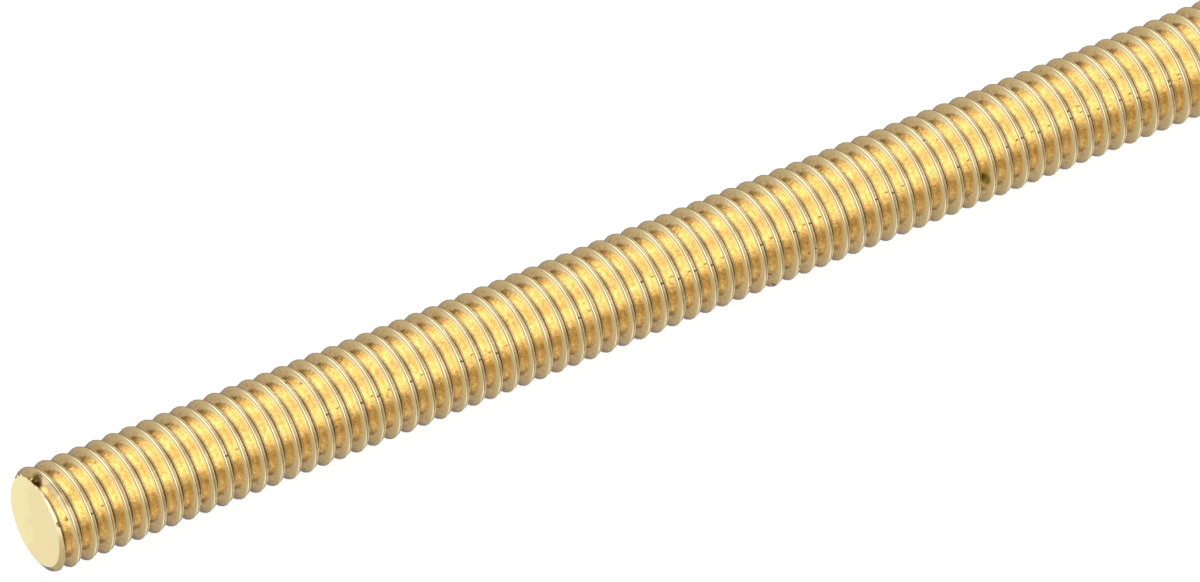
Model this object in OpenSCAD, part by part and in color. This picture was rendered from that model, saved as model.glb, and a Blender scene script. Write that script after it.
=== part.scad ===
// Threaded rod, one bar of brass with a coarse right-hand M4 thread from end to end.
// The bar lies along +X. The origin is the centre of the end face at x = 0.
// The thread's crests set the diameter, and the fine thread itself is not cut here.

/* [Rod] */
// Length from one end face to the other
rod_length = 70; // [20:1:1000]
// Diameter over the thread crests, a little under the nominal 4 mm
crest_d = 3.92; // [2:0.01:12]

/* [Start end, at x = 0] */
// Length of the broken edge, along the rod
start_break = 0.16; // [0.05:0.01:0.5]
// Angle of the broken edge to the rod's axis
start_break_angle = 60; // [20:1:75]

/* [Far end] */
// Length of the broken edge, along the rod
far_break = 0.12; // [0.05:0.01:0.5]
// Angle of the broken edge to the rod's axis
far_break_angle = 45; // [20:1:75]

/* [Hidden] */
// Smoothness of the round surfaces
$fn = 96;
crest_r = crest_d / 2;
start_face_r = crest_r - start_break * tan(start_break_angle);
far_face_r = crest_r - far_break * tan(far_break_angle);

// Half of the rod's lengthwise section, drawn with x as the radius and y along the rod
module half_section() {
  polygon([
    [0, 0],
    [start_face_r, 0],
    [crest_r, start_break],
    [crest_r, rod_length - far_break],
    [far_face_r, rod_length],
    [0, rod_length],
  ]);
}

// The whole bar, turned about its own axis and laid along +X
module threaded_rod() {
  color([0.85, 0.68, 0.36])
  rotate([0, 90, 0])
  rotate_extrude()
  half_section();
}

threaded_rod();
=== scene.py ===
import math

import bmesh
import bpy
import numpy as np
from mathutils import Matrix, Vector


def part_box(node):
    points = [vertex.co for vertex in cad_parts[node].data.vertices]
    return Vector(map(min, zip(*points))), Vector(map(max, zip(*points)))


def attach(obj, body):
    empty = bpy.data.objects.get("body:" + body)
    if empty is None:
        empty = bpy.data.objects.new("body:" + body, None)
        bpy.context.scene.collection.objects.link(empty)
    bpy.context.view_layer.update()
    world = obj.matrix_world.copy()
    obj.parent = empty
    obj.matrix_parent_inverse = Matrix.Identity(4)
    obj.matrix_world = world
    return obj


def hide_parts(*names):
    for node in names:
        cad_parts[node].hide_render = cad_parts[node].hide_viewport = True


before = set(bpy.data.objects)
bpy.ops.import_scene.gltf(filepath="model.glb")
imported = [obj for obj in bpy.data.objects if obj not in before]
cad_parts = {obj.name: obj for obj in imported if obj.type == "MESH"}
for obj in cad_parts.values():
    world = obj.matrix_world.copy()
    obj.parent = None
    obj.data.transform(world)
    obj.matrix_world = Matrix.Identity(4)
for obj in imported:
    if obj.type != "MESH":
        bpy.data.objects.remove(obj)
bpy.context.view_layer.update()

mm = 0.001
hair = 1e-7   # metres, vertices nearer to a cut than this lie on it
rodLow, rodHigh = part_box("threaded_rod")
rodLength = rodHigh.x - rodLow.x
axisY = (rodLow.y + rodHigh.y) / 2
axisZ = (rodLow.z + rodHigh.z) / 2
crestRadius = min(rodHigh.y - rodLow.y, rodHigh.z - rodLow.z) / 2
print("frame loaded, rod of", round(rodLength / mm, 2), "mm")

# The rolled thread. Shares are of the pitch, and turns are counted from crest to crest.
thread = {
    "pitch": 0.7 * mm,
    "startTurn": 0.481,       # where the first crest stands, in turns from the start face
    "flankAngle": 30,         # degrees, from square to the axis
    "crestHalf": 0.165,       # share, half the width of the crest
    "crestRound": 0.02,       # share, the crest's two edges
    "dome": 0.050 * mm,       # how far the crest falls away towards its edges
    "domePower": 3,           # more of it keeps the middle flatter
    "domeRise": 0.003 * mm,   # lifts the whole crest so that its highest line has the rod's size
    "rootRound": 0.03,        # share, the bottom of the groove
    "seamDepth": 0.065 * mm,  # rolling folds the crest in from both sides and leaves a seam
    "seamWaver": 0.25,        # share of its depth, how much that wanders
    "seamWidth": 0.047,       # share
    "seamOffset": 0.074,      # share, the seam lies past the crest's middle
    "columns": 36,            # mesh columns round the rod
    "waver": 0.004 * mm,      # how far the crest wanders in height
    "waverReach": 0.2,        # share, how much of the crest wanders with it
    "waverWidth": 0.012,      # share, how far its far edge wanders
    "spareTurns": 3,          # turns rolled past each end, before the ends are sawn off
}

# The two ends. The bevels' angles are degrees from the rod's axis, and burrAngle is degrees round it.
sawnEnds = {
    "startBevel": 0.16 * mm,
    "startAngle": 60,
    "farBevel": 0.12 * mm,
    "farAngle": 45,
    "edgeRound": 0.02 * mm,
    "burrRadius": 1.65 * mm,  # the saw smears metal over the groove's mouth up to here
    "burrWaver": 0.018 * mm,  # how jagged its edge is
    "burrPeak": 0.12 * mm,    # how much further it reaches where the saw left the cut
    "burrAngle": 62,
    "peakSpread": 0.5,        # radians
    "burrTaper": 2.4,         # how steeply the burr runs out along the rod
    "bevelWaver": 0.4,        # share of the edge round, how uneven the start bevel is
    "relief": 0.003 * mm,     # how far the sawn faces swell and dip
    "rings": 9,               # mesh rings on each sawn face
    "startCuts": (0.02 * mm, 0.05 * mm, 0.1 * mm, 0.16 * mm),  # mesh rows behind the start face
    "farCuts": (0.06 * mm, 0.12 * mm),                         # and behind the far one
}


def softRamp(value, width):
    # nought below nought, the value itself above it, and a bend of this width between
    return 0.5 * (value + np.sqrt(value * value + width * width))


def wander(along, start):
    # a slow unsteady swing between about -1 and 1, made of three waves
    long = np.sin(0.91 * along + 2 * start)
    middle = np.sin(2.3 * along + start)
    short = 0.6 * np.sin(5.7 * along + 3 * start)
    return (long + middle + short) / 2.6


def threadDrop(turn, along):
    # how far the surface lies below the crest's highest line, with turn from -0.5 to 0.5 across one pitch
    half = thread["crestHalf"] + thread["waverWidth"] * wander(along, 1.3) * (turn > 0)
    steep = thread["pitch"] / math.tan(math.radians(thread["flankAngle"]))
    full = 0.5 - thread["rootRound"]
    fromRoot = np.sqrt((0.5 - np.abs(turn)) ** 2 + thread["rootRound"] ** 2)
    stretch = (full - thread["crestHalf"]) / (full - half)
    flank = softRamp(0.5 - half - fromRoot, thread["crestRound"]) * stretch
    seam = np.exp(-0.5 * ((turn - thread["seamOffset"]) / thread["seamWidth"]) ** 2)
    depth = thread["seamDepth"] * (1 + thread["seamWaver"] * wander(along, 0.4))
    dome = thread["dome"] * np.minimum(np.abs(turn) / thread["crestHalf"], 1) ** thread["domePower"]
    return steep * flank + depth * seam + dome - thread["domeRise"]


def turnsAt(x, angle):
    # turns counted along the rod, a whole number on each crest
    return (x - rodLow.x) / thread["pitch"] - angle / (2 * math.pi) - thread["startTurn"]


def burrRadius(angle):
    # how far out the burr reaches, ragged all round and highest where the saw left
    jag = np.sin(7 * angle + 1) + 0.8 * np.sin(13 * angle + 2.1) + 0.6 * np.sin(29 * angle + 0.4)
    off = angle - math.radians(sawnEnds["burrAngle"])
    off = off - 2 * math.pi * np.round(off / (2 * math.pi))
    peak = sawnEnds["burrPeak"] * np.exp(-((off / sawnEnds["peakSpread"]) ** 2))
    return sawnEnds["burrRadius"] + sawnEnds["burrWaver"] * jag / 2.4 + peak * (1 + 0.5 * np.sin(31 * angle))


def rodRadius(x, angle):
    turns = turnsAt(x, angle)
    count = np.round(turns)
    turn = turns - count
    along = (count * 2 * math.pi + angle) * crestRadius / mm
    radius = crestRadius - np.maximum(threadDrop(turn, along), 0)
    sway = thread["waver"] * (1 - wander(along, 0.2)) / 2
    radius = radius - sway * np.exp(-((turn / thread["waverReach"]) ** 2))
    # the bevels
    fromStart = x - rodLow.x
    fromFar = rodHigh.x - x
    steepStart = math.tan(math.radians(sawnEnds["startAngle"]))
    steepFar = math.tan(math.radians(sawnEnds["farAngle"]))
    edge = sawnEnds["edgeRound"]
    coneStart = crestRadius + (fromStart - sawnEnds["startBevel"]) * steepStart
    coneStart = coneStart + sawnEnds["bevelWaver"] * edge * np.sin(11 * angle + 2) * np.sin(5 * angle)
    coneFar = crestRadius + (fromFar - sawnEnds["farBevel"]) * steepFar
    radius = radius - softRamp(radius - coneStart, edge)
    radius = radius - softRamp(radius - coneFar, edge)
    # the burr at the start face
    burr = burrRadius(angle) - sawnEnds["burrTaper"] * fromStart
    return radius + softRamp(burr - radius, 0.5 * edge)


def placeOnRod(x, angle):
    radius = rodRadius(x, angle)
    return np.stack([x, axisY + radius * np.cos(angle), axisZ + radius * np.sin(angle)], -1)


def normalOnRod(x, angle):
    step = 0.0005 * mm
    turn = step / crestRadius
    radius = rodRadius(x, angle)
    slopeX = (rodRadius(x + step, angle) - rodRadius(x - step, angle)) / (2 * step)
    slopeA = (rodRadius(x, angle + turn) - rodRadius(x, angle - turn)) / (2 * turn) / radius
    y = np.cos(angle) + slopeA * np.sin(angle)
    z = np.sin(angle) - slopeA * np.cos(angle)
    normal = np.stack([-slopeX, y, z], -1)
    return normal / np.linalg.norm(normal, axis=-1, keepdims=True)


def acrossOneTurn():
    # places of the mesh rows across one pitch, close together on the crest and at its two edges
    edge = [0.148, 0.163, 0.178, 0.198, 0.235]
    flank = [0.35, 0.455]
    crest = [-0.125, -0.095, -0.065, -0.035, -0.005, 0.025, 0.05, 0.074, 0.098, 0.124]
    return sorted([-place for place in edge + flank] + crest + edge + flank + [0.5])


def unwrappedMap(x, angleShare):
    # the rod's skin laid out flat in strips, one strip for each length of rod
    strips = 5
    margin = 0.02
    foot = 0.04
    height = 0.8
    share = (x - rodLow.x) / rodLength * strips
    strip = np.clip(np.floor(share.mean(-1, keepdims=True)), 0, strips - 1)
    u = margin + (1 - 2 * margin) * np.clip((share - strip + margin) / (1 + 2 * margin), 0, 1)
    v = (strip + foot + height * angleShare) / (strips + 1)
    return np.stack([u, v], -1)


def rodMesh():
    # the thread as one sheet wound along the rod, a little longer than the rod at both ends
    places = np.array(acrossOneTurn())
    perTurn = len(places)
    spareTurns = thread["spareTurns"]
    turnList = np.arange(-spareTurns, int(rodLength / thread["pitch"]) + spareTurns)
    rowPlaces = (turnList[:, None] + places[None, :]).ravel()
    columns = thread["columns"]
    rows = len(rowPlaces)
    angles = 2 * math.pi * np.arange(columns) / columns
    angle, row = np.meshgrid(angles, rowPlaces, indexing="ij")
    x = rodLow.x + (row + angle / (2 * math.pi) + thread["startTurn"]) * thread["pitch"]
    points = placeOnRod(x, angle)
    index = np.arange(columns * rows).reshape(columns, rows)
    # each column is joined to the next, and past the last one the sheet meets itself one turn further on
    following = np.full((columns, rows), -1)
    following[:-1] = index[1:]
    following[-1, : rows - perTurn] = index[0, perTurn:]
    quads = np.stack([index[:, :-1], following[:, :-1], following[:, 1:], index[:, 1:]], -1).reshape(-1, 4)
    share = np.repeat(np.arange(columns)[:, None], rows - 1, 1) / columns
    shares = np.stack([share, share + 1 / columns, share + 1 / columns, share], -1).reshape(-1, 4)
    xQuad = x.ravel()[quads]
    spare = 0.5 * thread["pitch"]
    kept = (quads >= 0).all(1) & (xQuad.min(1) > rodLow.x - spare) & (xQuad.max(1) < rodHigh.x + spare)
    used, quads = np.unique(quads[kept], return_inverse=True)
    quads = quads.reshape(-1, 4)
    points = points.reshape(-1, 3)[used]
    mesh = bpy.data.meshes.new("threadedRod")
    mesh.from_pydata(points.tolist(), [], quads.tolist())
    layer = mesh.uv_layers.new(name="OFBake")
    flat = unwrappedMap(points[quads][:, :, 0], shares[kept])
    layer.data.foreach_set("uv", flat.reshape(-1).astype(np.float32))
    return mesh


def settle(vertices):
    # puts vertices back on the true surface
    places = np.array([v.co for v in vertices])
    angle = np.arctan2(places[:, 2] - axisZ, places[:, 1] - axisY)
    for vertex, place in zip(vertices, placeOnRod(places[:, 0], angle)):
        vertex.co = place


def everyPart(bm):
    return bm.verts[:] + bm.edges[:] + bm.faces[:]


def sawEnd(bm, endX, outward, cuts):
    # halves the mesh near the end, saws it square and closes it with a ringed face
    near = hair / 100
    reach = 0.9 * thread["pitch"]
    edges = [e for e in bm.edges if all(abs(v.co.x - endX) < reach for v in e.verts)]
    bmesh.ops.subdivide_edges(bm, edges=edges, cuts=1, use_grid_fill=True)
    for cut in cuts:
        place = (endX - outward * cut, 0, 0)
        bmesh.ops.bisect_plane(bm, geom=everyPart(bm), dist=near, plane_co=place, plane_no=(outward, 0, 0))
    bmesh.ops.bisect_plane(
        bm, geom=everyPart(bm), dist=near, plane_co=(endX, 0, 0), plane_no=(outward, 0, 0), clear_outer=True
    )
    settle([v for v in bm.verts if abs(v.co.x - endX) < 1.5 * reach])
    rim = [e for e in bm.edges if e.is_boundary and all(abs(v.co.x - endX) < hair for v in e.verts)]
    corners = list({v for e in rim for v in e.verts})
    corners.sort(key=lambda v: math.atan2(v.co.z - axisZ, v.co.y - axisY))
    for edge in rim:
        edge.smooth = False
    count = len(corners)
    ring = corners
    faces = []
    for step in range(1, sawnEnds["rings"]):
        share = 1 - step / sawnEnds["rings"]
        inner = []
        for corner in corners:
            y = axisY + (corner.co.y - axisY) * share
            z = axisZ + (corner.co.z - axisZ) * share
            swell = math.sin(2100 * y + 1300 * z + 1) * math.cos(1100 * z - 700 * y)
            dip = sawnEnds["relief"] * (1 + swell) * (1 - share)
            inner.append(bm.verts.new((endX - outward * dip, y, z)))
        for k in range(count):
            after = (k + 1) % count
            faces.append(bm.faces.new((ring[k], ring[after], inner[after], inner[k])))
        ring = inner
    middle = bm.verts.new((endX - outward * sawnEnds["relief"], axisY, axisZ))
    for k in range(count):
        faces.append(bm.faces.new((ring[k], ring[(k + 1) % count], middle)))
    layer = bm.loops.layers.uv["OFBake"]
    # the two faces lie side by side above the thread's strips
    left = 0.04 if outward < 0 else 0.24
    foot = 0.845
    size = 0.07
    for face in faces:
        face.material_index = 1
        for loop in face.loops:
            y = (loop.vert.co.y - axisY) / crestRadius
            z = (loop.vert.co.z - axisZ) / crestRadius
            loop[layer].uv = (left + size * (1 + y), foot + size * (1 + z))


def exactNormals(mesh):
    # the thread takes its normals from its formula, so that its edges shine as they should
    places = np.zeros(len(mesh.vertices) * 3)
    mesh.vertices.foreach_get("co", places)
    places = places.reshape(-1, 3)
    angle = np.arctan2(places[:, 2] - axisZ, places[:, 1] - axisY)
    exact = normalOnRod(places[:, 0], angle)
    corners = np.zeros(len(mesh.loops), int)
    mesh.loops.foreach_get("vertex_index", corners)
    normals = exact[corners]
    for face in mesh.polygons:
        if face.material_index == 1:
            normals[face.loop_start : face.loop_start + face.loop_total] = 0
    mesh.normals_split_custom_set(normals.tolist())


def makeRod():
    mesh = rodMesh()
    bm = bmesh.new()
    bm.from_mesh(mesh)
    sawEnd(bm, rodLow.x, -1, sawnEnds["startCuts"])
    sawEnd(bm, rodHigh.x, 1, sawnEnds["farCuts"])
    for face in bm.faces:
        face.smooth = True
    bmesh.ops.recalc_face_normals(bm, faces=bm.faces[:])
    bm.to_mesh(mesh)
    bm.free()
    exactNormals(mesh)
    rod = bpy.data.objects.new("threadedRod", mesh)
    bpy.context.scene.collection.objects.link(rod)
    mesh.calc_loop_triangles()
    print("thread rolled and ends sawn,", len(mesh.loop_triangles), "triangles")
    return rod


def addNode(tree, kind, place=(0, 0), inputs=None, **settings):
    # makes a node, sets it up, and fills its inputs from values or from other nodes' outputs
    node = tree.nodes.new(kind)
    node.location = place
    for name, value in settings.items():
        setattr(node, name, value)
    for name, value in (inputs or {}).items():
        if isinstance(value, bpy.types.NodeSocket):
            tree.links.new(value, node.inputs[name])
        else:
            node.inputs[name].default_value = value
    return node


def sums(tree, operation, a, b=0.0, place=(0, 0), c=0.0):
    node = addNode(tree, "ShaderNodeMath", place, {0: a, 1: b, 2: c}, operation=operation)
    return node.outputs[0]


def newGroup(name, inputs, outputs):
    group = bpy.data.node_groups.new(name, "ShaderNodeTree")
    kinds = {"float": "NodeSocketFloat", "vector": "NodeSocketVector", "colour": "NodeSocketColor"}
    for label, kind, value in inputs:
        socket = group.interface.new_socket(label, in_out="INPUT", socket_type=kinds[kind])
        socket.default_value = value
    for label, kind in outputs:
        group.interface.new_socket(label, in_out="OUTPUT", socket_type=kinds[kind])
    start = addNode(group, "NodeGroupInput", (-1400, 0))
    end = addNode(group, "NodeGroupOutput", (900, 0))
    return group, start, end


def band(tree, value, low, high, place=(0, 0)):
    # nought up to low, one from high on, and a smooth step between
    node = addNode(
        tree, "ShaderNodeMapRange", place, {"Value": value, "From Min": low, "From Max": high},
        interpolation_type="SMOOTHSTEP",
    )
    return node.outputs["Result"]


def threadPlaceGroup():
    # where a point of the rod lies on the thread
    inputs = (("Position", "vector", (0, 0, 0)), ("Pitch", "float", 0.7), ("Start Turn", "float", 0.5))
    outputs = (
        ("Place", "vector"), ("Turn", "float"), ("Count", "float"), ("Angle", "float"), ("Along", "float"),
        ("Radius", "float"), ("From Start", "float"),
    )
    group, start, end = newGroup("threadPlace", inputs, outputs)
    mmPerTurn = 12.0   # about the way round the rod
    place = addNode(
        group, "ShaderNodeVectorMath", (-1200, 0), {0: start.outputs["Position"], "Scale": 1 / mm},
        operation="SCALE",
    )
    axes = addNode(group, "ShaderNodeSeparateXYZ", (-1000, 0), {0: place.outputs[0]})
    square = sums(group, "MULTIPLY", axes.outputs["Y"], axes.outputs["Y"], (-800, 400))
    square = sums(group, "MULTIPLY_ADD", axes.outputs["Z"], axes.outputs["Z"], (-600, 400), square)
    radius = sums(group, "SQRT", square, 0, (-400, 400))
    back = sums(group, "MULTIPLY", axes.outputs["Y"], -1, (-800, -200))
    angle = sums(group, "ARCTAN2", back, axes.outputs["Z"], (-600, -200))
    angle = sums(group, "ADD", angle, math.pi / 2, (-450, -200))
    whole = sums(group, "DIVIDE", angle, 2 * math.pi, (-300, -200))
    length = sums(group, "DIVIDE", axes.outputs["X"], start.outputs["Pitch"], (-600, 100))
    turns = sums(group, "SUBTRACT", length, whole, (-150, 0))
    turns = sums(group, "SUBTRACT", turns, start.outputs["Start Turn"], (0, 0))
    count = sums(group, "ROUND", turns, 0, (150, 100))
    turn = sums(group, "SUBTRACT", turns, count, (300, 0))
    along = sums(group, "ADD", count, whole, (300, -200))
    along = sums(group, "MULTIPLY", along, mmPerTurn, (450, -200))
    made = (place.outputs[0], turn, count, angle, along, radius, axes.outputs["X"])
    for (name, kind), value in zip(outputs, made):
        group.links.new(value, end.inputs[name])
    return group


# The pattern of handled brass: for each noise, where its patches begin and where they are full.
handledPattern = {
    "blotches": (0.38, 0.62),
    "tints": (0.42, 0.64),
    "specks": (0.57, 0.70),
    "tintFiner": 1.7,             # how much finer the tints are than the blotches
    "roughness": 0.6,
    "shift": (7.3, 1.9, 4.1),     # mm, from one noise to the next, so that they differ
}


def handledGroup():
    # blotches, tints, specks and grain of handled brass, one pattern for both finishes
    inputs = (("Place", "vector", (0, 0, 0)), ("Blotch Size", "float", 0.2), ("Speck Size", "float", 0.05))
    outputs = (("Blotch", "float"), ("Tint", "float"), ("Specks", "float"), ("Grain", "float"))
    group, start, end = newGroup("handledBrass", inputs, outputs)
    blotchScale = sums(group, "DIVIDE", 1.0, start.outputs["Blotch Size"], (-1200, -200))
    tintScale = sums(group, "MULTIPLY", blotchScale, handledPattern["tintFiner"], (-1050, -100))
    speckScale = sums(group, "DIVIDE", 1.0, start.outputs["Speck Size"], (-1200, -400))
    noises = []
    for k, (scale, detail) in enumerate(((blotchScale, 3), (tintScale, 2), (speckScale, 2))):
        moved = addNode(group, "ShaderNodeVectorMath", (-1000, 400 - 300 * k), {0: start.outputs["Place"]})
        moved.inputs[1].default_value = [k * step for step in handledPattern["shift"]]
        noise = addNode(
            group, "ShaderNodeTexNoise", (-800, 400 - 300 * k),
            {
                "Vector": moved.outputs[0], "Scale": scale, "Detail": detail,
                "Roughness": handledPattern["roughness"],
            },
        )
        noises.append(noise.outputs["Fac"])
    blotches = band(group, noises[0], *handledPattern["blotches"], (-500, 400))
    tints = band(group, noises[1], *handledPattern["tints"], (-500, 100))
    specks = band(group, noises[2], *handledPattern["specks"], (-500, -200))
    group.links.new(blotches, end.inputs["Blotch"])
    group.links.new(tints, end.inputs["Tint"])
    group.links.new(specks, end.inputs["Specks"])
    group.links.new(noises[2], end.inputs["Grain"])
    return group


# Short nicks across the crests. Seed picks the turns, Middle and Spread are radians round the rod,
# and Share is how many of the turns are nicked.
crossNicks = {
    "sets": {
        "nearOneAngle": {"Seed": 3.0, "Middle": 2.59, "Spread": 0.12, "Share": 0.35},
        "allRound": {"Seed": 57.0, "Middle": 1.57, "Spread": 6.2, "Share": 0.4},
    },
    "mmPerRadian": 1.95,
    "crestMiddle": 0.13,          # share of the pitch, the middle of the nicked part of the crest
    "crestReach": (0.16, 0.10),   # shares, where nicks have ended and where they are full
}


def nickGroup():
    # cross nicks over the crest, on some turns only
    inputs = (
        ("Turn", "float", 0.0), ("Count", "float", 0.0), ("Angle", "float", 0.0), ("Seed", "float", 0.0),
        ("Middle", "float", 2.5), ("Spread", "float", 0.3), ("Share", "float", 0.4), ("Width", "float", 0.05),
    )
    group, start, end = newGroup("crossNicks", inputs, (("Nick", "float"),))
    come = {name: start.outputs[name] for name, kind, value in inputs}
    number = sums(group, "ADD", come["Count"], come["Seed"], (-1200, 300))
    chance = addNode(group, "ShaderNodeTexWhiteNoise", (-1000, 300), {"W": number}, noise_dimensions="1D")
    parts = addNode(group, "ShaderNodeSeparateColor", (-800, 300), {0: chance.outputs["Color"]})
    chosen = sums(group, "LESS_THAN", parts.outputs[0], come["Share"], (-600, 300))
    swing = sums(group, "SUBTRACT", parts.outputs[1], 0.5, (-600, 100))
    swing = sums(group, "MULTIPLY", swing, come["Spread"], (-450, 100))
    centre = sums(group, "ADD", swing, come["Middle"], (-300, 100))
    off = sums(group, "SUBTRACT", come["Angle"], centre, (-150, 100))
    off = sums(group, "MULTIPLY", off, crossNicks["mmPerRadian"], (0, 100))
    off = sums(group, "ABSOLUTE", off, 0, (150, 100))
    across = addNode(
        group, "ShaderNodeMapRange", (300, 100), {"Value": off, "From Min": come["Width"], "From Max": 0.0},
        interpolation_type="SMOOTHSTEP",
    )
    crest = sums(group, "SUBTRACT", come["Turn"], crossNicks["crestMiddle"], (-300, -200))
    crest = sums(group, "ABSOLUTE", crest, 0, (-150, -200))
    crest = band(group, crest, *crossNicks["crestReach"], (0, -200))
    nick = sums(group, "MULTIPLY", across.outputs["Result"], crest, (500, 0))
    nick = sums(group, "MULTIPLY", nick, chosen, (700, 0))
    group.links.new(nick, end.inputs["Nick"])
    return group


def stainAndShadeGroup():
    # a round mark with a ragged edge, used for stains and for painted shade
    ended = 1.6   # share of the radius, with the ragged edge added
    full = 1.0
    inputs = (
        ("Place", "vector", (0, 0, 0)), ("Centre", "vector", (0, 0, 0)), ("Radius", "float", 0.3),
        ("Rough Edge", "float", 0.5), ("Strength", "float", 1.0),
    )
    group, start, end = newGroup("roundStainAndShade", inputs, (("Stain", "float"),))
    gap = addNode(
        group, "ShaderNodeVectorMath", (-800, 0), {0: start.outputs["Place"], 1: start.outputs["Centre"]},
        operation="DISTANCE",
    )
    share = sums(group, "DIVIDE", gap.outputs["Value"], start.outputs["Radius"], (-600, 0))
    share = sums(group, "ADD", share, start.outputs["Rough Edge"], (-400, 0))
    mask = band(group, share, ended, full, (-200, 0))
    group.links.new(sums(group, "MULTIPLY", mask, start.outputs["Strength"], (0, 0)), end.inputs["Stain"])
    return group


# Colours of the brass. Bright is the rubbed crest, deep is the groove under its thin tarnish.
brass = {
    "bright": (1.0, 0.84, 0.49),
    "deep": (1.0, 0.82, 0.46),
    "edgeTint": (0.32, 0.34, 0.50),   # of what is mirrored at a grazing angle
    "ruddy": (1.0, 0.67, 0.34),
    "olive": (0.50, 0.39, 0.12),
    # the seam colour also paints the shade in the seam and along the far flank
    "seam": (0.60, 0.40, 0.16),
    # the stain colour also paints the shade behind the burr
    "stainAndShade": (0.20, 0.12, 0.045),
    "verdigris": (0.26, 0.25, 0.03),
    "crestRoughness": 0.08,
    "grooveRoughness": 0.15,
    "blotchDepth": 0.003 * mm,
    "streakDepth": 0.0004 * mm,
    "lipDepth": 0.006 * mm,
    "nickDepth": 0.02 * mm,
    # x in mm, angle in degrees, depth and radius in mm, strength
    "stainsAndShade": {
        # painted shade: the first groove behind the burr darkened, where the burr and the crest keep light
        # out
        "paintedShadeBehindBurr": (0.24, 83, 0.32, 0.36, 1.0),
        "firstFlank": (0.42, 110, 0.15, 0.42, 0.5),
        "firstFlankLow": (0.46, 127, 0.15, 0.3, 0.35),
        "darkDot": (30.0, 221, 0.0, 0.16, 0.9),
        "rimNick": (0.13, 148, 0.17, 0.15, 0.9),
    },
    "greenSpot": (38.93, 181, 0.32, 0.30, 0.9),   # the same five values, coloured as verdigris
}

# Where the wear and the painted shade lie. Depths are mm below the crest, widths and offsets are shares of
# the pitch, and each pair gives where it begins and where it is full.
wearAndShade = {
    "tarnishDepth": (0.03, 0.22),
    "freshLength": (0.14, 0.20),      # mm from the start face, where the saw left bright metal
    "rootFrom": (0.43, 0.49),
    "seamWidth": (0.07, 0.01),
    "lipOffset": 0.08,                # from the seam to the rough far lip
    "lipWidth": (0.06, 0.02),
    "lipDepth": (0.15, 0.08),
    "shadowOffset": 0.26,             # from the crest to the painted shade along the far flank
    "shadowWidth": (0.09, 0.05),
    "upperAngle": (2.45, 2.05),       # radians round the rod, the far lip is darker on its upper side
    "streakFineness": (45.0, 1.3),    # across and along the thread
    "ruddyShare": 0.75,
    "lipDull": 0.3,
    "grooveDull": 0.45,
    "rootDull": 0.55,
    "speckShare": 0.3,
    "shadowShare": 0.6,
    "grimeAndShadeShares": (0.3, 0.55),       # what the blotches add, and what is there without them
    "upperShares": (-0.6, 1.0),       # what the tints take away, and what is there without them
}


def mixColour(tree, factor, first, second, place=(0, 0)):
    node = addNode(tree, "ShaderNodeMix", place, data_type="RGBA")
    for name, value in ((0, factor), (6, first), (7, second)):
        if isinstance(value, bpy.types.NodeSocket):
            tree.links.new(value, node.inputs[name])
        elif name == 0:
            node.inputs[name].default_value = value
        else:
            node.inputs[name].default_value = (*value, 1)
    return node.outputs[2]


def distanceFrom(tree, value, middle, place=(0, 0)):
    return sums(tree, "ABSOLUTE", sums(tree, "SUBTRACT", value, middle, place), 0, (place[0] + 150, place[1]))


def stainsAndShadeOnRod(tree, place, marks, stainAndShade):
    # one mask for each stain and for the painted shade behind the burr, the green spot's last
    masks = []
    for row, values in enumerate((*brass["stainsAndShade"].values(), brass["greenSpot"])):
        x, degrees, depth, radius, strength = values
        angle = math.radians(degrees)
        out = crestRadius / mm - depth
        spot = addNode(tree, "ShaderNodeGroup", (-300, 900 + 250 * row), node_tree=stainAndShade)
        tree.links.new(place.outputs["Place"], spot.inputs["Place"])
        tree.links.new(marks.outputs["Grain"], spot.inputs["Rough Edge"])
        spot.inputs["Centre"].default_value = (x, out * math.cos(angle), out * math.sin(angle))
        spot.inputs["Radius"].default_value = radius
        spot.inputs["Strength"].default_value = strength
        masks.append(spot.outputs["Stain"])
    return masks


def nicksOnRod(tree, place, nicks):
    # the stronger of the two sets of nicks
    masks = []
    for row, values in enumerate(crossNicks["sets"].values()):
        nick = addNode(tree, "ShaderNodeGroup", (-700, -600 - 300 * row), node_tree=nicks)
        for name in ("Turn", "Count", "Angle"):
            tree.links.new(place.outputs[name], nick.inputs[name])
        for name, value in values.items():
            nick.inputs[name].default_value = value
        masks.append(nick.outputs["Nick"])
    return sums(tree, "MAXIMUM", masks[0], masks[1], (-450, -600))


def streaksOnRod(tree, place):
    # fine streaks that run along the thread
    across, along = wearAndShade["streakFineness"]
    lane = addNode(tree, "ShaderNodeCombineXYZ", (-900, -300))
    tree.links.new(sums(tree, "MULTIPLY", place.outputs["Turn"], across, (-1000, -300)), lane.inputs[0])
    tree.links.new(sums(tree, "MULTIPLY", place.outputs["Along"], along, (-1000, -450)), lane.inputs[1])
    streaks = addNode(
        tree, "ShaderNodeTexNoise", (-700, -300), {"Vector": lane.outputs[0], "Scale": 1.0, "Detail": 2}
    )
    return streaks.outputs["Fac"]


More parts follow.
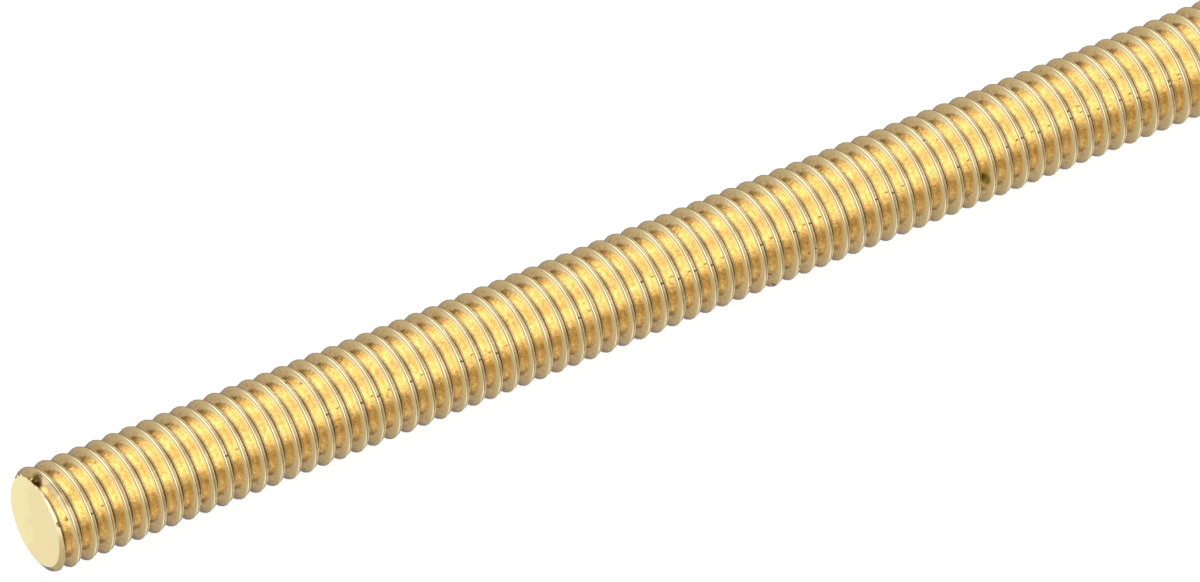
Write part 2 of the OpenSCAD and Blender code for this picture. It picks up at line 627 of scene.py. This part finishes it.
def rolledBrass(placeGroup, handled, nicks, stainAndShade):
    material = bpy.data.materials.new("rolledBrass")
    material.use_nodes = True
    tree = material.node_tree
    shader = tree.nodes["Principled BSDF"]
    shader.location = (1500, 0)
    coordinates = addNode(tree, "ShaderNodeTexCoord", (-1400, 0))
    place = addNode(tree, "ShaderNodeGroup", (-1200, 0), node_tree=placeGroup)
    tree.links.new(coordinates.outputs["Object"], place.inputs["Position"])
    place.inputs["Pitch"].default_value = thread["pitch"] / mm
    place.inputs["Start Turn"].default_value = thread["startTurn"]
    marks = addNode(tree, "ShaderNodeGroup", (-900, 300), node_tree=handled)
    tree.links.new(place.outputs["Place"], marks.inputs["Place"])
    turn = place.outputs["Turn"]
    blotch = marks.outputs["Blotch"]
    depth = sums(tree, "SUBTRACT", crestRadius / mm, place.outputs["Radius"], (-1050, 0))

    # where the parts of the thread lie
    old = band(tree, place.outputs["From Start"], *wearAndShade["freshLength"], (-900, -100))
    groove = band(tree, depth, *wearAndShade["tarnishDepth"], (-900, 0))
    groove = sums(tree, "MULTIPLY", groove, old, (-750, 0))
    root = band(tree, sums(tree, "ABSOLUTE", turn, 0, (-900, 150)), *wearAndShade["rootFrom"], (-750, 150))
    seamMiddle = thread["seamOffset"]
    # dirt and painted shade in the narrow seam
    seam = band(tree, distanceFrom(tree, turn, seamMiddle, (-900, 600)), *wearAndShade["seamWidth"], (-600, 600))
    lipMiddle = seamMiddle + wearAndShade["lipOffset"]
    lip = band(tree, distanceFrom(tree, turn, lipMiddle, (-900, 750)), *wearAndShade["lipWidth"], (-600, 750))
    highLip = band(tree, depth, *wearAndShade["lipDepth"], (-600, 900))
    lip = sums(tree, "MULTIPLY", lip, highLip, (-450, 750))
    # painted shade: a dark line along the far flank, past the far lip
    shadow = distanceFrom(tree, turn, wearAndShade["shadowOffset"], (-900, 1050))
    shadow = band(tree, shadow, *wearAndShade["shadowWidth"], (-600, 1050))

    # tarnish in the groove
    colour = mixColour(tree, groove, brass["bright"], brass["deep"], (-300, 500))
    ruddy = sums(tree, "MULTIPLY", blotch, wearAndShade["ruddyShare"], (-450, 300))
    ruddy = sums(tree, "MULTIPLY", ruddy, groove, (-300, 300))
    colour = mixColour(tree, ruddy, colour, brass["ruddy"], (-100, 500))
    dull = sums(tree, "MULTIPLY", groove, wearAndShade["grooveDull"], (-600, 100))
    dull = sums(tree, "MULTIPLY_ADD", lip, wearAndShade["lipDull"], (-450, 100), dull)
    dull = sums(tree, "MULTIPLY", marks.outputs["Tint"], dull, (-300, 100))
    rootDull = sums(tree, "MULTIPLY", root, wearAndShade["rootDull"], (-300, 0))
    dull = sums(tree, "MAXIMUM", dull, rootDull, (-150, 50))
    colour = mixColour(tree, dull, colour, brass["olive"], (100, 500))

    # dirt and painted shade in the seam, painted shade along the far flank, and darker far lips in patches on
    # the upper side
    grimeAndShade = sums(tree, "MAXIMUM", seam, sums(tree, "MULTIPLY", shadow, wearAndShade["shadowShare"], (-450, 700)))
    blotchy, always = wearAndShade["grimeAndShadeShares"]
    patchy = sums(tree, "MULTIPLY_ADD", blotch, blotchy, (-300, 700), always)
    grimeAndShade = sums(tree, "MULTIPLY", grimeAndShade, patchy, (-150, 700))
    upper = band(tree, place.outputs["Angle"], *wearAndShade["upperAngle"], (-450, 850))
    upper = sums(tree, "MULTIPLY", upper, lip, (-300, 850))
    tinted, always = wearAndShade["upperShares"]
    patchy = sums(tree, "MULTIPLY_ADD", marks.outputs["Tint"], tinted, (-300, 1000), always)
    upper = sums(tree, "MULTIPLY", upper, patchy, (-150, 850))
    grimeAndShade = sums(tree, "MAXIMUM", grimeAndShade, upper, (0, 700))
    grimeAndShade = sums(tree, "MULTIPLY", grimeAndShade, old, (150, 700))
    colour = mixColour(tree, grimeAndShade, colour, brass["seam"], (200, 500))

    # specks, nicks and stains, and the painted shade behind the burr
    nicked = sums(tree, "MULTIPLY", nicksOnRod(tree, place, nicks), old, (-300, -600))
    spots = sums(tree, "MULTIPLY", marks.outputs["Specks"], wearAndShade["speckShare"], (-100, 200))
    spots = sums(tree, "MAXIMUM", spots, nicked, (50, 200))
    *stainsAndShade, green = stainsAndShadeOnRod(tree, place, marks, stainAndShade)
    for row, stainedAndShaded in enumerate(stainsAndShade):
        spots = sums(tree, "MAXIMUM", spots, stainedAndShaded, (100, 900 + 250 * row))
    colour = mixColour(tree, spots, colour, brass["stainAndShade"], (300, 500))
    colour = mixColour(tree, green, colour, brass["verdigris"], (400, 500))

    tree.links.new(colour, shader.inputs["Base Color"])
    shader.inputs["Metallic"].default_value = 1
    shader.inputs["Specular Tint"].default_value = (*brass["edgeTint"], 1)
    rough = addNode(
        tree, "ShaderNodeMapRange", (200, 0),
        {"Value": groove, "To Min": brass["crestRoughness"], "To Max": brass["grooveRoughness"]},
    )
    tree.links.new(rough.outputs["Result"], shader.inputs["Roughness"])

    # the same marks as relief
    blotchHeight = sums(tree, "MULTIPLY", blotch, brass["blotchDepth"], (0, -200))
    blotchHeight = sums(tree, "MULTIPLY", blotchHeight, groove, (150, -200))
    streakHeight = sums(tree, "MULTIPLY", streaksOnRod(tree, place), brass["streakDepth"], (0, -350))
    streakHeight = sums(tree, "MULTIPLY", streakHeight, groove, (150, -350))
    lipHeight = sums(tree, "MULTIPLY", marks.outputs["Grain"], lip, (0, -650))
    lipHeight = sums(tree, "MULTIPLY", lipHeight, brass["lipDepth"], (150, -650))
    nickHeight = sums(tree, "MULTIPLY", nicked, -brass["nickDepth"], (0, -500))
    height = sums(tree, "ADD", blotchHeight, streakHeight, (300, -250))
    height = sums(tree, "ADD", height, lipHeight, (450, -300))
    height = sums(tree, "ADD", height, nickHeight, (600, -300))
    bump = addNode(tree, "ShaderNodeBump", (1000, -300), {"Strength": 1.0, "Distance": 1.0, "Height": height})
    tree.links.new(bump.outputs["Normal"], shader.inputs["Normal"])
    return material


# The sawn faces, paler on one side.
sawnFace = {
    "colour": (0.85, 0.70, 0.335),
    "pale": (0.88, 0.77, 0.365),
    "roughness": 0.30,
    "markDepth": 0.0007 * mm,
    "blotchSize": 0.45,               # mm
    "sawAngle": 25,                   # degrees, the way the saw marks run
    "sawStretch": (1, 14, 0.8),       # fine across the marks, long along them
    "paleFrom": (0.4, 0.9),           # mm from the axis towards +Y
    "paleRagged": 0.5,                # mm, how far blotches move that edge
}


def sawnBrass(handled):
    material = bpy.data.materials.new("sawnBrass")
    material.use_nodes = True
    tree = material.node_tree
    shader = tree.nodes["Principled BSDF"]
    shader.location = (900, 0)
    coordinates = addNode(tree, "ShaderNodeTexCoord", (-1400, 0))
    place = addNode(
        tree, "ShaderNodeVectorMath", (-1200, 0), {0: coordinates.outputs["Object"], "Scale": 1 / mm},
        operation="SCALE",
    )
    marks = addNode(tree, "ShaderNodeGroup", (-900, 300), node_tree=handled)
    tree.links.new(place.outputs[0], marks.inputs["Place"])
    marks.inputs["Blotch Size"].default_value = sawnFace["blotchSize"]
    # saw marks, straight lines across the face
    turned = addNode(tree, "ShaderNodeMapping", (-900, 0), {"Vector": place.outputs[0]})
    turned.inputs["Rotation"].default_value = (math.radians(sawnFace["sawAngle"]), 0, 0)
    turned.inputs["Scale"].default_value = sawnFace["sawStretch"]
    saw = addNode(
        tree, "ShaderNodeTexNoise", (-700, 0), {"Vector": turned.outputs[0], "Scale": 1.0, "Detail": 3}
    )
    axes = addNode(tree, "ShaderNodeSeparateXYZ", (-700, 300), {0: place.outputs[0]})
    pale = sums(
        tree, "MULTIPLY_ADD", marks.outputs["Blotch"], sawnFace["paleRagged"], (-550, 300), axes.outputs["Y"]
    )
    pale = band(tree, pale, *sawnFace["paleFrom"], (-400, 300))
    colour = mixColour(tree, pale, sawnFace["colour"], sawnFace["pale"], (0, 300))
    tree.links.new(colour, shader.inputs["Base Color"])
    shader.inputs["Metallic"].default_value = 1
    shader.inputs["Roughness"].default_value = sawnFace["roughness"]
    sawHeight = sums(tree, "MULTIPLY", saw.outputs["Fac"], 2 * sawnFace["markDepth"], (-200, -200))
    grainHeight = sums(tree, "MULTIPLY", marks.outputs["Grain"], sawnFace["markDepth"], (-200, -350))
    height = sums(tree, "ADD", sawHeight, grainHeight, (0, -250))
    bump = addNode(tree, "ShaderNodeBump", (600, -300), {"Strength": 1.0, "Distance": 1.0, "Height": height})
    tree.links.new(bump.outputs["Normal"], shader.inputs["Normal"])
    return material


rod = makeRod()
handled = handledGroup()
rod.data.materials.append(rolledBrass(threadPlaceGroup(), handled, nickGroup(), stainAndShadeGroup()))
rod.data.materials.append(sawnBrass(handled))
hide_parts("threaded_rod")
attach(rod, "root")
print("brass finished")

# The studio: an even surround and a few broad soft panels, each placed where a kind of surface mirrors it.
room = {
    "surround": 0.55,
    "shadeTint": (1.0, 0.89, 0.72),  # the dim parts of the room are warm, its bright parts are cool
    "lightTint": (1.0, 1.05, 1.15),
    "tintLevels": (0.3, 1.3),        # brightness at which each tint is full
    "panels": {
        # azimuth from +X towards +Y, elevation, half angle, strength
        "roof": (40, 60, 60, 1.5),        # along the top of the crests
        "frontWall": (300, 30, 50, 1.5),  # down their front
        "startWall": (170, 0, 45, 0.8),   # flanks that face the start
        "farLow": (45, -35, 40, 0.8),     # flanks that face away
        "bounce": (330, -60, 50, 0.6),    # the underside of the crests
        "sawLight": (120, -40, 30, 0.6),  # the sawn start face
    },
    "floorShade": 0.15,
    "floorGlow": 0.93,               # what the camera sees of the paper besides its shade
    "floorHalf": 3.0,                # metres
}


def softPanelGroup():
    # a round panel, brightest in its middle
    inputs = (
        ("Direction", "vector", (0, 0, 1)), ("Centre", "vector", (0, 0, 1)),
        ("Half Angle", "float", 0.5), ("Strength", "float", 1.0),
    )
    group, start, end = newGroup("softPanel", inputs, (("Light", "float"),))
    dot = addNode(
        group, "ShaderNodeVectorMath", (-400, 0), {0: start.outputs["Direction"], 1: start.outputs["Centre"]},
        operation="DOT_PRODUCT",
    )
    angle = sums(group, "ARCCOSINE", dot.outputs["Value"], 0, (-200, 0))
    fade = band(group, angle, start.outputs["Half Angle"], 0.0, (0, 0))
    light = sums(group, "MULTIPLY", fade, start.outputs["Strength"], (200, 0))
    group.links.new(light, end.inputs["Light"])
    return group


def directionOf(azimuth, elevation):
    a = math.radians(azimuth)
    e = math.radians(elevation)
    return (math.cos(e) * math.cos(a), math.cos(e) * math.sin(a), math.sin(e))


def lightRoom():
    world = bpy.data.worlds.new("studio")
    bpy.context.scene.world = world
    world.use_nodes = True
    tree = world.node_tree
    tree.nodes.clear()
    group = softPanelGroup()
    coordinates = addNode(tree, "ShaderNodeTexCoord", (-900, 0))
    total = room["surround"]
    for row, (label, values) in enumerate(room["panels"].items()):
        azimuth, elevation, halfAngle, strength = values
        panel = addNode(tree, "ShaderNodeGroup", (-600, -200 * row), node_tree=group, label=label)
        tree.links.new(coordinates.outputs["Generated"], panel.inputs["Direction"])
        panel.inputs["Centre"].default_value = directionOf(azimuth, elevation)
        panel.inputs["Half Angle"].default_value = math.radians(halfAngle)
        panel.inputs["Strength"].default_value = strength
        total = sums(tree, "ADD", panel.outputs["Light"], total, (-350, -200 * row))
    bright = band(tree, total, *room["tintLevels"], (-250, -300))
    tint = mixColour(tree, bright, room["shadeTint"], room["lightTint"], (-100, -300))
    studio = addNode(tree, "ShaderNodeBackground", (100, -100), {"Color": tint, "Strength": total})
    white = addNode(tree, "ShaderNodeBackground", (100, 100), {"Color": (1, 1, 1, 1)})
    path = addNode(tree, "ShaderNodeLightPath", (100, 400))
    mix = addNode(
        tree, "ShaderNodeMixShader", (350, 0),
        {0: path.outputs["Is Camera Ray"], 1: studio.outputs[0], 2: white.outputs[0]},
    )
    addNode(tree, "ShaderNodeOutputWorld", (550, 0), {"Surface": mix.outputs[0]})


def layFloor():
    # white paper under the rod
    mesh = bpy.data.meshes.new("floor")
    half = room["floorHalf"]
    z = rodLow.z
    corners = [(-half, -half, z), (half, -half, z), (half, half, z), (-half, half, z)]
    mesh.from_pydata(corners, [], [(0, 1, 2, 3)])
    floor = bpy.data.objects.new("floor", mesh)
    bpy.context.scene.collection.objects.link(floor)
    material = bpy.data.materials.new("palePaper")
    material.use_nodes = True
    tree = material.node_tree
    tree.nodes.clear()
    shade = room["floorShade"]
    diffuse = addNode(tree, "ShaderNodeBsdfDiffuse", (0, 0), {"Color": (shade, shade, shade, 1)})
    path = addNode(tree, "ShaderNodeLightPath", (-400, -200))
    lift = sums(tree, "MULTIPLY", path.outputs["Is Camera Ray"], room["floorGlow"], (-200, -200))
    glow = addNode(tree, "ShaderNodeEmission", (0, -200), {"Color": (1, 1, 1, 1), "Strength": lift})
    both = addNode(tree, "ShaderNodeAddShader", (200, 0), {0: diffuse.outputs[0], 1: glow.outputs[0]})
    addNode(tree, "ShaderNodeOutputMaterial", (400, 0), {"Surface": both.outputs[0]})
    mesh.materials.append(material)
    floor.visible_glossy = False
    floor.visible_shadow = False


lightRoom()
layFloor()
print("room lit and floor laid")

# The camera, aimed at a point near the rod's axis.
shot = {
    "azimuth": -32.28,       # degrees, 0 looks along +Y
    "elevation": 39.07,      # degrees
    "distance": 740.5 * mm,
    "lens": 621.7,
    "aimAlong": 23.58 * mm,
    "aimUp": 0.295 * mm,
}


def placeCamera():
    data = bpy.data.cameras.new("camera")
    data.lens = shot["lens"]
    data.sensor_width = 36
    data.clip_start = 0.05
    camera = bpy.data.objects.new("camera", data)
    bpy.context.scene.collection.objects.link(camera)
    a = math.radians(shot["azimuth"])
    e = math.radians(shot["elevation"])
    back = Vector((math.sin(a) * math.cos(e), -math.cos(a) * math.cos(e), math.sin(e)))
    aim = Vector((rodLow.x + shot["aimAlong"], axisY, axisZ + shot["aimUp"]))
    camera.location = aim + back * shot["distance"]
    camera.rotation_mode = "QUATERNION"
    camera.rotation_quaternion = (-back).to_track_quat("-Z", "Y")
    bpy.context.scene.camera = camera
    bpy.context.scene.view_settings.view_transform = "Standard"


placeCamera()
print("camera placed")
